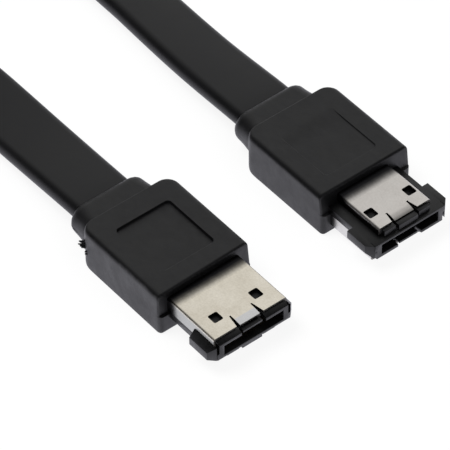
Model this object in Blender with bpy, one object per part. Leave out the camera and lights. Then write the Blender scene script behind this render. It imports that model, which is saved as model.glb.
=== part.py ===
"""Flat external data cable, one metre long, with a shielded seven-contact plug on each end.

Both plugs point along +X and lie side by side on the ground, z = 0.  Plug A shows the
wide side of its metal shell, plug B is the same insert turned over.  The cable runs back
from the plugs, turns on edge and is wound into a round coil that a strap holds.
The origin is on the ground, in the middle of the two plugs.
"""
import bpy
import bmesh
from math import asin, atan2, cos, hypot, pi, radians, sin
from mathutils import Vector

MM = 0.001
FIT = 0.05 * MM                   # clearance between pieces that seat in each other

# Overmould: the moulded grip, cast in two mould halves that meet at the parting height
BODY_LENGTH = 16.2 * MM
BODY_WIDTH = 15.0 * MM
BODY_HEIGHT = 6.6 * MM
BODY_REAR_ROUND = 1.5 * MM
BODY_FRONT_ROUND = 0.6 * MM
BODY_EDGE_ROUND = 0.3 * MM
PARTING_HEIGHT = 2.95 * MM
PARTING_STEP = 0.42 * MM          # the lower mould half stands this far ahead
BODY_SHIFT_B = 0.3 * MM           # plug B's body sits this far to the side of its insert
PANEL_LENGTH = 9.3 * MM
PANEL_WIDTH = 8.7 * MM
PANEL_FROM_REAR = 3.7 * MM
PANEL_DEPTH = 0.2 * MM
PANEL_ROUND = 0.6 * MM
NECK_LENGTH = 4.2 * MM
NECK_WIDTH = 11.9 * MM
NECK_HEIGHT = 4.8 * MM
NECK_FLARE = 0.35 * MM            # how much the neck widens on each side towards the body
NECK_ROUND = 1.7 * MM
NECK_END_ROUND = 1.1 * MM

# Insert: everything that the overmould holds, measured back from the insulator's face
PLUG_SPACING = 26.9 * MM
REACH_A = 10.1 * MM               # how far each insert stands out of its overmould
REACH_B = 8.9 * MM
INSERT_LENGTH = 15.0 * MM
METAL_HEIGHT = 4.44 * MM
WIDE_WIDTH = 11.8 * MM
NARROW_WIDTH = 8.75 * MM
SHELL_THICKNESS = 0.3 * MM
SHELL_BEND = 0.36 * MM            # outer radius of the folded edges
WIDE_SETBACK = 0.8 * MM
NARROW_SETBACK = 1.2 * MM
SHELL_REAR_SETBACK = 1.0 * MM
WIDE_WALL_END = 0.15 * MM         # height of the wide shell's lower edge above mid plane
WINDOW_LENGTH = 1.55 * MM
WINDOW_WIDTH = 1.45 * MM
WINDOW_SPREAD = 6.5 * MM          # between the window centres
WINDOW_FROM_FRONT = 2.1 * MM      # from the shell's front edge
TAB_WIDTH = 3.2 * MM
SLIT_WIDTH = 0.32 * MM
WIDE_SLIT_LENGTH = 1.95 * MM
NARROW_SLIT_LENGTH = 1.6 * MM
TAB_DROP = 0.45 * MM

# Insulator
FLANGE_BOTTOM = -0.94 * MM        # shelf level, where the narrow block starts
LIP_DROP = 0.3 * MM
SLOT_WIDTH = 9.6 * MM
SLOT_BOTTOM = -0.56 * MM
SLOT_TOP = 1.1 * MM
SLOT_DEPTH = 7.0 * MM
WING_WIDTH = 13.7 * MM
WING_LENGTH = 4.5 * MM
WING_CHAMFER = 0.95 * MM
WING_EDGE_TOP = 0.33 * MM
WING_ROOT_TOP = 1.35 * MM
POCKET_DEPTH = 0.3 * MM
POCKET_MARGIN = 0.15 * MM
LIP_SETBACK = 0.25 * MM           # of the lip's front in front of the tab
LIP_CUT_DEPTH = 1.1 * MM          # narrow cuts through the lip, in line with the shell's slits
RELIEF_FLOOR = 1.46 * MM
NARROW_RELIEF_DEPTH = 0.75 * MM
NOSE_SETBACK = 0.6 * MM           # front of the narrow block, ahead of its shell
NOSE_WIDTH = 7.7 * MM
TONGUE_FRONT = 0.35 * MM          # tongue below the slot, in front of the narrow tab
TONGUE_REAR = 1.1 * MM
TONGUE_BOTTOM = -1.82 * MM

# Contacts and wires
CONTACT_COUNT = 7
CONTACT_PITCH = 1.27 * MM
CONTACT_WIDTH = 0.7 * MM
CONTACT_THICKNESS = 0.15 * MM
CONTACT_FRONT = 1.3 * MM
CONTACT_BOW = 0.45 * MM
CONTACT_TAIL = 2.0 * MM
GROOVE_WIDTH = 0.9 * MM
GROOVE_DEPTH = 0.22 * MM
WIRE_RADIUS = 0.2 * MM
INNER_MOULD_REAR = 11.6 * MM      # behind the overmould's front face
INNER_MOULD_WIDTH = 10.0 * MM
INNER_MOULD_HEIGHT = 3.8 * MM

# Flat cable
CABLE_WIDTH = 9.1 * MM
CABLE_THICKNESS = 2.6 * MM
CABLE_ROUND = 1.05 * MM
CABLE_GAP = 0.3 * MM

# Coil of the length that is put away, wound on edge
COIL_BACK = 130.3 * MM            # coil centre behind the overmoulds' front faces
COIL_INNER_RADIUS = 32.0 * MM     # middle of the first turn
TURN_PITCH = 3.3 * MM
COIL_TURNS = 3
COIL_EXIT_ANGLE = 64.0            # degrees, where the outer end leaves the coil
COIL_SLACK = 0.1 * MM
TIE_THICKNESS = 0.6 * MM
TIE_WIDTH = 8.0 * MM
TIE_GAP = 0.25 * MM
TIE_TAIL = 6.0 * MM

# Worked out from the values above
MID = BODY_HEIGHT / 2
NECK_REAR = BODY_LENGTH + NECK_LENGTH
CENTRE_X = (max(REACH_A, REACH_B) - NECK_REAR) / 2
SHELL_TOP = METAL_HEIGHT / 2
SHELL_INSIDE = SHELL_TOP - SHELL_THICKNESS
CORE_TOP = SHELL_INSIDE - FIT
WIDE_CORE_HALF = WIDE_WIDTH / 2 - SHELL_THICKNESS - FIT
NARROW_CORE_HALF = NARROW_WIDTH / 2 - SHELL_THICKNESS - FIT
RELIEF_HALF = TAB_WIDTH / 2 + SLIT_WIDTH + FIT
COIL_CENTRE = Vector((-CENTRE_X - COIL_BACK, 0, 0))
COIL_HOLE = COIL_INNER_RADIUS - CABLE_THICKNESS / 2 - COIL_SLACK
COIL_END_RADIUS = COIL_INNER_RADIUS + TURN_PITCH * (COIL_TURNS + (90 - COIL_EXIT_ANGLE) / 360)
COIL_RIM = COIL_END_RADIUS + CABLE_THICKNESS / 2 + COIL_SLACK
COIL_SLOPE = (TIE_THICKNESS + TIE_GAP) / (COIL_RIM + COIL_HOLE)


def make_material(name, colour, roughness, metallic=0.0):
    mat = bpy.data.materials.new(name)
    mat.use_nodes = True
    shader = mat.node_tree.nodes["Principled BSDF"]
    shader.inputs["Base Color"].default_value = (*colour, 1)
    shader.inputs["Roughness"].default_value = roughness
    shader.inputs["Metallic"].default_value = metallic
    mat.diffuse_color = (*colour, 1)
    return mat


def make_object(name, bm, mat=None, parent=None, smooth=None):
    """Turns a bmesh into an object; faces are made to point outwards."""
    bmesh.ops.recalc_face_normals(bm, faces=bm.faces)
    mesh = bpy.data.meshes.new(name)
    bm.to_mesh(mesh)
    bm.free()
    if mat:
        mesh.materials.append(mat)
    if smooth:
        mesh.shade_smooth()
        mesh.set_sharp_from_angle(angle=radians(smooth))
    obj = bpy.data.objects.new(name, mesh)
    bpy.context.scene.collection.objects.link(obj)
    obj.parent = parent
    return obj


def make_empty(name, location, parent=None, turned=False):
    empty = bpy.data.objects.new(name, None)
    empty.location = location
    if turned:
        empty.rotation_euler.x = pi
    empty.parent = parent
    bpy.context.scene.collection.objects.link(empty)
    return empty


def loft(rings, closed_ends=True):
    """Skins a list of rings, each a list of points with the same count."""
    bm = bmesh.new()
    rows = [[bm.verts.new(point) for point in ring] for ring in rings]
    count = len(rings[0])
    for low, high in zip(rows, rows[1:]):
        for i in range(count):
            j = (i + 1) % count
            bm.faces.new((low[i], low[j], high[j], high[i]))
    if closed_ends:
        bm.faces.new(list(reversed(rows[0])))
        bm.faces.new(rows[-1])
    return bm


def prism_z(outline, z0, z1):
    """Extrudes an outline of (x, y) points from height z0 to z1."""
    return loft([[(x, y, z) for x, y in outline] for z in (z0, z1)])


def prism_x(outline, x0, x1):
    """Extrudes an outline of (y, z) points from x0 to x1."""
    return loft([[(x, y, z) for y, z in outline] for x in (x0, x1)])


def box(x0, x1, y0, y1, z0, z1):
    return prism_z([(x0, y0), (x1, y0), (x1, y1), (x0, y1)], z0, z1)


def rounded_rectangle(x0, x1, y0, y1, radii, steps=5):
    """Outline with a radius for each corner, from (x0, y0) anticlockwise."""
    corners = ((x0, y0, 180), (x1, y0, 270), (x1, y1, 0), (x0, y1, 90))
    outline = []
    for (x, y, start), radius in zip(corners, radii):
        radius = min(radius, (x1 - x0) / 2, (y1 - y0) / 2)
        if radius <= 0:
            outline.append((x, y))
            continue
        cx = x + radius if x == x0 else x - radius
        cy = y + radius if y == y0 else y - radius
        for k in range(steps + 1):
            a = radians(start + 90 * k / steps)
            outline.append((cx + radius * cos(a), cy + radius * sin(a)))
    return outline


def joined(meshes):
    """Puts several closed bodies into one bmesh."""
    total = bmesh.new()
    for bm in meshes:
        mesh = bpy.data.meshes.new("scratch")
        bm.to_mesh(mesh)
        bm.free()
        total.from_mesh(mesh)
        bpy.data.meshes.remove(mesh)
    return total


def boolean(target, tool_mesh, name, operation="DIFFERENCE"):
    """Cuts away, or adds, another body that never shows by itself."""
    tool = make_object(name, tool_mesh, parent=target.parent)
    tool.hide_render = True
    tool.hide_set(True)
    tool.display_type = "WIRE"
    modifier = target.modifiers.new(name, "BOOLEAN")
    modifier.operation = operation
    modifier.solver = "EXACT"
    modifier.object = tool
    return tool


def bevel_edges(bm, test, width, segments):
    edges = [edge for edge in bm.edges if test(edge)]
    bmesh.ops.bevel(bm, geom=edges, offset=width, segments=segments, profile=0.5,
                    affect="EDGES", clamp_overlap=True)


def smoothstep(t):
    t = min(max(t, 0.0), 1.0)
    return t * t * (3 - 2 * t)


def cable_outline(extra=0.0):
    """The flat cable's section, wide in the first direction."""
    half, thick = CABLE_WIDTH / 2 + extra, CABLE_THICKNESS / 2 + extra
    return rounded_rectangle(-half, half, -thick, thick, [CABLE_ROUND + extra] * 4, steps=4)


def body_half(front, shift, z0, z1, round_edge_z):
    """One mould half of the grip; only its outer edge loop is rounded."""
    low, high = shift - BODY_WIDTH / 2, shift + BODY_WIDTH / 2
    radii = (BODY_REAR_ROUND, BODY_FRONT_ROUND, BODY_FRONT_ROUND, BODY_REAR_ROUND)
    bm = prism_z(rounded_rectangle(-BODY_LENGTH, front, low, high, radii), z0, z1)
    bevel_edges(bm, lambda e: all(abs(v.co.z - round_edge_z) < FIT for v in e.verts),
                BODY_EDGE_ROUND, 3)
    return bm


def neck_mesh():
    """Strain relief: a rounded block that widens into the body."""
    rings = []
    overlap = BODY_LENGTH / 3
    stations = [(0.0, 1.0, 0.0)]
    for k in range(1, 5):
        a = pi / 2 * k / 4
        stations.append((NECK_END_ROUND * (1 - cos(a)), 1 - sin(a), 0.0))
    stations += [(NECK_LENGTH * 0.6, 0.0, 0.25), (NECK_LENGTH, 0.0, 1.0),
                 (NECK_LENGTH + overlap, 0.0, 1.0)]
    for along, inset, flare in stations:
        half = NECK_WIDTH / 2 - NECK_FLARE * (1 - flare) - NECK_END_ROUND * inset
        tall = NECK_HEIGHT / 2 - NECK_END_ROUND * inset
        outline = rounded_rectangle(-half, half, -tall, tall, [NECK_ROUND] * 4, steps=5)
        rings.append([(along - NECK_REAR, y, MID + z) for y, z in outline])
    return loft(rings)


def hat_outline(extra):
    """Outer section of the metal shells, wide side up, grown by a clearance."""
    wide, narrow = WIDE_WIDTH / 2 + extra, NARROW_WIDTH / 2 + extra
    top, shelf = SHELL_TOP + extra, FLANGE_BOTTOM - extra
    return [(-wide, shelf), (-narrow, shelf), (-narrow, -top), (narrow, -top),
            (narrow, shelf), (wide, shelf), (wide, top), (-wide, top)]


def make_overmould(tag, plug, insert, reach, shift, mat):
    upper = body_half(0.0, shift, PARTING_HEIGHT / 2, BODY_HEIGHT, BODY_HEIGHT)
    obj = make_object("overmould_" + tag, upper, mat, plug, smooth=35)
    boolean(obj, body_half(PARTING_STEP, shift, 0.0, PARTING_HEIGHT, 0.0),
            "lower_half_" + tag, "UNION")
    boolean(obj, neck_mesh(), "neck_" + tag, "UNION")
    for side, z0, z1 in (("top", BODY_HEIGHT - PANEL_DEPTH, BODY_HEIGHT + MM),
                         ("bottom", -MM, PANEL_DEPTH)):
        rear = PANEL_FROM_REAR - BODY_LENGTH
        outline = rounded_rectangle(rear, rear + PANEL_LENGTH, shift - PANEL_WIDTH / 2,
                                    shift + PANEL_WIDTH / 2, [PANEL_ROUND] * 4, steps=3)
        boolean(obj, prism_z(outline, z0, z1), "panel_%s_%s" % (side, tag))
    # The insert's seat, the room for the inner mould and the cable's bore run into each other
    seat_rear = -INSERT_LENGTH - FIT
    seat = boolean(obj, prism_x(hat_outline(FIT), seat_rear, MM), "seat_" + tag)
    seat.parent = insert
    half, tall = INNER_MOULD_WIDTH / 2 + FIT, INNER_MOULD_HEIGHT / 2 + FIT
    boolean(obj, box(-INNER_MOULD_REAR - FIT, reach + seat_rear + MM, -half, half,
                     MID - tall, MID + tall), "mould_room_" + tag)
    bore = [(y, MID + z) for y, z in cable_outline(FIT)]
    boolean(obj, prism_x(bore, -NECK_REAR - MM, -INNER_MOULD_REAR + MM), "bore_" + tag)
    return obj


def make_shell(name, insert, mat, width, front, wall_end, side, slit_length, level):
    """Folds one shell out of a flat sheet with two windows and a spring tab.

    side is 1 for the wide shell above and -1 for the narrow one below; wall_end is how
    far its walls reach past the mid plane, towards the other shell.
    """
    flat = width / 2 - SHELL_BEND
    arc = SHELL_BEND * pi / 2
    wall = SHELL_TOP - SHELL_BEND - wall_end
    inner = WINDOW_SPREAD / 2 - WINDOW_WIDTH / 2
    outer = WINDOW_SPREAD / 2 + WINDOW_WIDTH / 2
    tab = TAB_WIDTH / 2
    half_lines = [tab, tab + SLIT_WIDTH, inner, outer, flat]
    half_lines += [flat + arc * k / 4 for k in range(1, 5)] + [flat + arc + wall]
    lines = [-s for s in reversed(half_lines)] + [0.0] + half_lines

    slit_end = front - slit_length
    window_front = front - WINDOW_FROM_FRONT
    window_rear = window_front - WINDOW_LENGTH
    stations = [front - slit_length * k / 6 for k in range(7)]
    stations += [window_front, window_rear, -INSERT_LENGTH + SHELL_REAR_SETBACK]

    def fold(s, x):
        """Place of a sheet point; the tab rolls down towards its front edge."""
        a = abs(s)
        sign = 1 if s >= 0 else -1
        if a <= flat:
            y, z = a, SHELL_TOP
        elif a <= flat + arc:
            turn = (a - flat) / SHELL_BEND
            y, z = flat + SHELL_BEND * sin(turn), SHELL_TOP - SHELL_BEND * (1 - cos(turn))
        else:
            y, z = width / 2, SHELL_TOP - SHELL_BEND - (a - flat - arc)
        if a <= tab and x > slit_end:
            t = (x - slit_end) / slit_length
            z -= TAB_DROP * t ** 3
            x -= TAB_DROP * 0.3 * t ** 3
        return (x, sign * y, side * z)

    def is_open(s0, s1, x0, x1):
        s, x = abs(s0 + s1) / 2, (x0 + x1) / 2
        in_slit = tab < s < tab + SLIT_WIDTH and x > slit_end
        in_window = inner < s < outer and window_rear < x < window_front
        return in_slit or in_window

    bm = bmesh.new()
    grid = {}

    def corner(i, j):
        if (i, j) not in grid:
            grid[i, j] = bm.verts.new(fold(lines[i], stations[j]))
        return grid[i, j]

    for i in range(len(lines) - 1):
        for j in range(len(stations) - 1):
            if is_open(lines[i], lines[i + 1], stations[j], stations[j + 1]):
                continue
            ring = [corner(i, j), corner(i, j + 1), corner(i + 1, j + 1), corner(i + 1, j)]
            bm.faces.new(ring if side < 0 else list(reversed(ring)))
    mesh = bpy.data.meshes.new(name)
    bm.normal_update()
    if sum(f.normal.z for f in bm.faces) * side < 0:
        bmesh.ops.reverse_faces(bm, faces=bm.faces)
    bm.to_mesh(mesh)
    bm.free()
    mesh.materials.append(mat)
    mesh.shade_smooth()
    mesh.set_sharp_from_angle(angle=radians(40))
    obj = bpy.data.objects.new(name, mesh)
    bpy.context.scene.collection.objects.link(obj)
    obj.parent = insert
    skin = obj.modifiers.new("thickness", "SOLIDIFY")
    skin.thickness = SHELL_THICKNESS
    skin.offset = -1
    skin.use_even_offset = True
    return obj


def wing_mesh(side):
    """Side wing: flat shelf below, sloping back to the shell's wall above."""
    root = WIDE_WIDTH / 2 + FIT
    tip = WING_WIDTH / 2
    plan = [(-WING_LENGTH, root), (-WING_LENGTH, tip), (-WING_CHAMFER, tip),
            (0.0, tip - WING_CHAMFER)]
    if tip - WING_CHAMFER > root:
        plan.append((0.0, root))
    else:
        plan[-1] = (-(WING_CHAMFER - (tip - root)), root)
    slope = (WING_EDGE_TOP - WING_ROOT_TOP) / (tip - root)
    low = [(x, side * y, FLANGE_BOTTOM) for x, y in plan]
    high = [(x, side * y, WING_ROOT_TOP + slope * (y - root)) for x, y in plan]
    return loft([low, high])


def make_insulator(tag, insert, mat):
    flange = WIDE_WIDTH / 2
    ledge = WIDE_WALL_END - FIT

    def wide_ring(x, top):
        outline = [(-flange, FLANGE_BOTTOM), (flange, FLANGE_BOTTOM), (flange, ledge),
                   (WIDE_CORE_HALF, ledge), (WIDE_CORE_HALF, top), (-WIDE_CORE_HALF, top),
                   (-WIDE_CORE_HALF, ledge), (-flange, ledge)]
        return [(x, y, z) for y, z in outline]

    rings = [wide_ring(-INSERT_LENGTH, CORE_TOP), wide_ring(-WIDE_SETBACK, CORE_TOP),
             wide_ring(0.0, CORE_TOP - LIP_DROP)]
    obj = make_object("insulator_" + tag, loft(rings), mat, insert)
    narrow = box(-INSERT_LENGTH, -NARROW_SETBACK, -NARROW_CORE_HALF, NARROW_CORE_HALF,
                 -CORE_TOP, FLANGE_BOTTOM + 4 * FIT)
    boolean(obj, narrow, "narrow_block_" + tag, "UNION")
    nose = box(-NARROW_SETBACK - 4 * FIT, -NOSE_SETBACK, -NOSE_WIDTH / 2, NOSE_WIDTH / 2,
               -CORE_TOP, FLANGE_BOTTOM + 4 * FIT)
    boolean(obj, nose, "narrow_nose_" + tag, "UNION")
    for side in (1, -1):
        boolean(obj, wing_mesh(side), "wing_%d_%s" % (side, tag), "UNION")
        low, high = sorted((side * SLOT_WIDTH / 2, side * (flange + 4 * FIT)))
        root = box(-WING_LENGTH, -WING_CHAMFER, low, high, FLANGE_BOTTOM, ledge)
        boolean(obj, root, "wing_root_%d_%s" % (side, tag), "UNION")
    slot = box(-SLOT_DEPTH, MM, -SLOT_WIDTH / 2, SLOT_WIDTH / 2, SLOT_BOTTOM, SLOT_TOP)
    boolean(obj, slot, "slot_" + tag)
    grooves = joined(box(-INSERT_LENGTH - MM, -CONTACT_FRONT + 2 * FIT, y - GROOVE_WIDTH / 2,
                         y + GROOVE_WIDTH / 2, SLOT_TOP - 4 * FIT, SLOT_TOP + GROOVE_DEPTH)
                     for y in contact_places())
    boolean(obj, grooves, "grooves_" + tag)
    # Pockets behind the shells' windows
    pockets = []
    for side, setback in ((1, WIDE_SETBACK), (-1, NARROW_SETBACK)):
        front = -setback - WINDOW_FROM_FRONT + POCKET_MARGIN
        rear = front - WINDOW_LENGTH - 2 * POCKET_MARGIN
        low, high = sorted((side * (CORE_TOP - POCKET_DEPTH), side * (CORE_TOP + MM)))
        for y in (-WINDOW_SPREAD / 2, WINDOW_SPREAD / 2):
            reach = WINDOW_WIDTH / 2 + POCKET_MARGIN
            edge = NARROW_CORE_HALF + MM if side < 0 else WIDE_CORE_HALF
            y0, y1 = max(y - reach, -edge), min(y + reach, edge)
            pockets.append(box(rear, front, y0, y1, low, high))
    boolean(obj, joined(pockets), "pockets_" + tag)
    # Room under the spring tabs; the wide side's lip is lower and set back there
    wide_rear = -WIDE_SETBACK - WIDE_SLIT_LENGTH - 2 * POCKET_MARGIN
    boolean(obj, box(wide_rear, MM, -RELIEF_HALF, RELIEF_HALF, RELIEF_FLOOR,
                     CORE_TOP + MM), "wide_relief_" + tag)
    boolean(obj, box(-LIP_SETBACK, MM, -RELIEF_HALF, RELIEF_HALF, SLOT_TOP - 4 * FIT,
                     RELIEF_FLOOR + 4 * FIT), "lip_setback_" + tag)
    cuts = []
    for side in (1, -1):
        y0, y1 = sorted((side * (TAB_WIDTH / 2 - FIT), side * RELIEF_HALF))
        cuts.append(box(-LIP_CUT_DEPTH, MM, y0, y1, SLOT_TOP - 4 * FIT, CORE_TOP + MM))
    boolean(obj, joined(cuts), "lip_cuts_" + tag)
    narrow_rear = -NARROW_SETBACK - NARROW_SLIT_LENGTH - 2 * POCKET_MARGIN
    boolean(obj, box(narrow_rear, MM, -RELIEF_HALF, RELIEF_HALF, -CORE_TOP - MM,
                     -CORE_TOP + NARROW_RELIEF_DEPTH), "narrow_relief_" + tag)
    boolean(obj, box(-TONGUE_REAR, -TONGUE_FRONT, -TAB_WIDTH / 2, TAB_WIDTH / 2,
                     TONGUE_BOTTOM, FLANGE_BOTTOM + 4 * FIT), "tongue_" + tag, "UNION")
    return obj


def contact_places():
    middle = (CONTACT_COUNT - 1) / 2
    return [(i - middle) * CONTACT_PITCH for i in range(CONTACT_COUNT)]


def contact_top():
    return SLOT_TOP + GROOVE_DEPTH - FIT


def make_contact(name, insert, mat, y):
    """Spring strip: straight tail, bowed arm in the slot, tip turned back up."""
    rear = -INSERT_LENGTH - CONTACT_TAIL
    bow_rear = -SLOT_DEPTH + 4 * FIT
    profile = [(rear, 0.0), (bow_rear, 0.0)]
    steps = 8
    for k in range(1, steps + 1):
        t = k / steps
        profile.append((bow_rear + (-CONTACT_FRONT - bow_rear) * t,
                        -CONTACT_BOW * sin(pi * t ** 1.6)))
    rings = []
    for x, drop in profile:
        top = contact_top() + drop
        low = top - CONTACT_THICKNESS
        half = CONTACT_WIDTH / 2
        rings.append([(x, y - half, low), (x, y + half, low), (x, y + half, top),
                      (x, y - half, top)])
    return make_object(name, loft(rings), mat, insert)


def wire_height():
    return contact_top() - CONTACT_THICKNESS - FIT - WIRE_RADIUS


def make_wire(name, insert, mat, y, reach):
    """Straight conductor end, soldered below its contact's tail."""
    front = -INSERT_LENGTH - 3 * FIT
    rear = -reach - INNER_MOULD_REAR
    ring = [(y + WIRE_RADIUS * cos(a), wire_height() + WIRE_RADIUS * sin(a))
            for a in (2 * pi * k / 8 for k in range(8))]
    return make_object(name, prism_x(ring, rear, front), mat, insert, smooth=50)


def make_inner_mould(tag, insert, mat, reach):
    """Block cast over the solder joints, with a channel for each wire."""
    rear = -reach - INNER_MOULD_REAR
    front = -INSERT_LENGTH - 2 * FIT
    half, tall = INNER_MOULD_WIDTH / 2, INNER_MOULD_HEIGHT / 2
    obj = make_object("inner_mould_" + tag, box(rear, front, -half, half, -tall, tall),
                      mat, insert)
    low = wire_height() - WIRE_RADIUS - FIT
    channels = joined(box(rear - MM, front + MM, y - GROOVE_WIDTH / 2, y + GROOVE_WIDTH / 2,
                          low, contact_top() + FIT) for y in contact_places())
    boolean(obj, channels, "channels_" + tag)
    return obj


def make_plug(tag, y, reach, shift, turned, mats):
    plug = make_empty("plug_" + tag, (-CENTRE_X, y, 0))
    insert = make_empty("insert_" + tag, (reach, 0, MID), plug, turned)
    make_overmould(tag, plug, insert, reach, shift, mats["overmould"])
    make_shell("shell_wide_" + tag, insert, mats["shell"], WIDE_WIDTH, -WIDE_SETBACK,
               WIDE_WALL_END, 1, WIDE_SLIT_LENGTH, CORE_TOP)
    make_shell("shell_narrow_" + tag, insert, mats["shell"], NARROW_WIDTH, -NARROW_SETBACK,
               -FLANGE_BOTTOM + FIT, -1, NARROW_SLIT_LENGTH, CORE_TOP)
    make_insulator(tag, insert, mats["insulator"])
    make_inner_mould(tag, insert, mats["inner_mould"], reach)
    for number, place in enumerate(contact_places(), 1):
        make_contact("contact_%d_%s" % (number, tag), insert, mats["contact"], place)
        make_wire("wire_%d_%s" % (number, tag), insert, mats["wire"], place, reach)


def coil_point(x, y, height):
    """A point given from the coil's centre, raised with the coil's slight lean."""
    lift = COIL_SLOPE * (COIL_RIM - x)
    return (COIL_CENTRE.x + x, COIL_CENTRE.y + y, height + lift)


def smooth_path(points, spacing):
    """Catmull-Rom curve through route points of (x, y, z, tilt), evenly resampled."""
    rows = [Vector(p) for p in points]
    rows = [2 * rows[0] - rows[1]] + rows + [2 * rows[-1] - rows[-2]]
    dense = []
    for k in range(1, len(rows) - 2):
        p0, p1, p2, p3 = rows[k - 1:k + 3]
        for j in range(24):
            t = j / 24
            dense.append(0.5 * (2 * p1 + (p2 - p0) * t + (2 * p0 - 5 * p1 + 4 * p2 - p3) * t ** 2
                                + (3 * p1 - p0 - 3 * p2 + p3) * t ** 3))
    dense.append(rows[-2])
    lengths = [0.0]
    for a, b in zip(dense, dense[1:]):
        lengths.append(lengths[-1] + (b.xyz - a.xyz).length)
    count = max(2, round(lengths[-1] / spacing))
    path, k = [], 0
    for n in range(count + 1):
        want = lengths[-1] * n / count
        while k < len(dense) - 2 and lengths[k + 1] < want:
            k += 1
        span = lengths[k + 1] - lengths[k]
        path.append(dense[k].lerp(dense[k + 1], (want - lengths[k]) / span if span else 0))
    return path


def make_run(name, points, profile, mat):
    """Flat cable along a route; the fourth value of each point is its tilt."""
    curve = bpy.data.curves.new(name, "CURVE")
    curve.dimensions = "3D"
    curve.twist_mode = "Z_UP"
    curve.bevel_mode = "OBJECT"
    curve.bevel_object = profile
    curve.use_fill_caps = True
    path = smooth_path(points, CABLE_WIDTH * 0.6)
    spline = curve.splines.new("POLY")
    spline.points.add(len(path) - 1)
    for point, row in zip(spline.points, path):
        point.co = (*row.xyz, 1)
        point.tilt = row.w
    curve.materials.append(mat)
    obj = bpy.data.objects.new(name, curve)
    bpy.context.scene.collection.objects.link(obj)
    return obj


def make_profile():
    """Section that the cable runs are drawn with."""
    curve = bpy.data.curves.new("cable_section", "CURVE")
    curve.dimensions = "2D"
    outline = cable_outline()
    spline = curve.splines.new("POLY")
    spline.points.add(len(outline) - 1)
    for point, (x, y) in zip(spline.points, reversed(outline)):
        point.co = (x, y, 0, 1)
    spline.use_cyclic_u = True
    obj = bpy.data.objects.new("cable_section", curve)
    obj.hide_render = True
    obj.display_type = "WIRE"
    bpy.context.scene.collection.objects.link(obj)
    obj.hide_set(True)
    return obj


def run_a_route():
    """From plug A back along the ground, over the coil's near side and into its middle."""
    y = -PLUG_SPACING / 2
    start = -CENTRE_X - INNER_MOULD_REAR - 2 * FIT
    neck = -CENTRE_X - NECK_REAR
    deck = CABLE_WIDTH + CABLE_GAP + CABLE_THICKNESS / 2
    floor = CABLE_THICKNESS / 2 + COIL_SLACK
    route = [(start, y, MID, 0), (neck + MM, y, MID, 0), (neck - 2 * MM, y, MID, 0),
             (neck - 14 * MM, y, MID * 0.75, 0), (neck - 26 * MM, y, floor + 0.3 * MM, 0)]
    over = [(COIL_RIM + 26 * MM, floor + 1.2 * MM), (COIL_RIM + 13 * MM, 0.55 * deck),
            (COIL_RIM, deck + 0.1 * MM), (COIL_RIM - 8 * MM, deck + 0.7 * MM),
            (COIL_HOLE - 2 * MM, deck + 0.2 * MM)]
    route += [(*coil_point(x, y, z), 0) for x, z in over]
    # A half turn of a smaller circle that grows into the first turn of the coil
    radius = (COIL_INNER_RADIUS - y) / 2
    centre = y + radius
    reach = COIL_HOLE - CABLE_THICKNESS / 2 - CABLE_GAP
    # The run stops where its side comes within the gap of the coil's first turn
    last = pi / 2 + asin((reach ** 2 - centre ** 2 - radius ** 2) / (2 * centre * radius))
    steps = 8
    for k in range(steps + 1):
        a = last * k / steps
        place = coil_point(-radius * sin(a), centre - radius * cos(a), 0)
        twist = smoothstep((k + 1) / steps)
        z = place[2] + CABLE_WIDTH / 2 + (deck - CABLE_WIDTH / 2) * (1 - smoothstep((k + 2) / steps))
        route.append((place[0], place[1], z, pi / 2 * twist))
    return route


def run_b_route():
    """From plug B back along the ground, turning on edge, to the coil's outside."""
    y = PLUG_SPACING / 2
    start = -CENTRE_X - INNER_MOULD_REAR - 2 * FIT
    neck = -CENTRE_X - NECK_REAR
    floor = CABLE_THICKNESS / 2 + COIL_SLACK
    edge = CABLE_WIDTH / 2
    route = [(start, y, MID, 0), (neck + MM, y, MID, 0), (neck - 2 * MM, y, MID, 0),
             (neck - 14 * MM, y + 0.3 * MM, MID * 0.75, 0),
             (neck - 27 * MM, y + 1.1 * MM, floor + 0.3 * MM, 0)]
    angle = radians(COIL_EXIT_ANGLE)
    # The run starts where the tangent has left the coil's rim by the gap
    free = COIL_RIM + CABLE_THICKNESS / 2 + CABLE_GAP
    clear = (free ** 2 - COIL_END_RADIUS ** 2) ** 0.5
    leave = (COIL_END_RADIUS * cos(angle) + clear * sin(angle),
             COIL_END_RADIUS * sin(angle) - clear * cos(angle))
    target = (COIL_BACK - NECK_REAR - 27 * MM, y + 1.1 * MM)
    for part, drift, turn in ((0.20, 3.6, 0.06), (0.42, 4.2, 0.32), (0.66, 3.0, 0.72),
                              (0.86, 1.0, 0.97), (1.0, 0.0, 1.0)):
        x = target[0] + (leave[0] - target[0]) * part
        side = target[1] + (leave[1] - target[1]) * part - drift * MM
        tilt = pi / 2 * turn
        low = edge * sin(tilt) + CABLE_THICKNESS / 2 * cos(tilt) + 3 * COIL_SLACK
        route.append((*coil_point(x, side, low), tilt))
    return route


def make_coil(mat):
    """Outer shape of the wound turns: a turned ring that leans on its strap."""
    rim, hole, tall = COIL_RIM, COIL_HOLE, CABLE_WIDTH
    edge = CABLE_ROUND * 0.6
    section = rounded_rectangle(hole, rim, 0, tall, [edge] * 4, steps=2)
    bm = bmesh.new()
    verts = [bm.verts.new((r, 0, z)) for r, z in section]
    edges = [bm.edges.new((verts[i - 1], verts[i])) for i in range(len(verts))]
    bmesh.ops.spin(bm, geom=verts + edges, cent=(0, 0, 0), axis=(0, 0, 1), angle=2 * pi,
                   steps=64, use_merge=True, use_duplicate=False)
    bmesh.ops.remove_doubles(bm, verts=bm.verts, dist=1e-6)
    obj = make_object("cable_coil", bm, mat, smooth=35)
    obj.location = coil_point(0, 0, 0)
    obj.rotation_euler.y = atan2(COIL_SLOPE, 1)
    return obj


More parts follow.
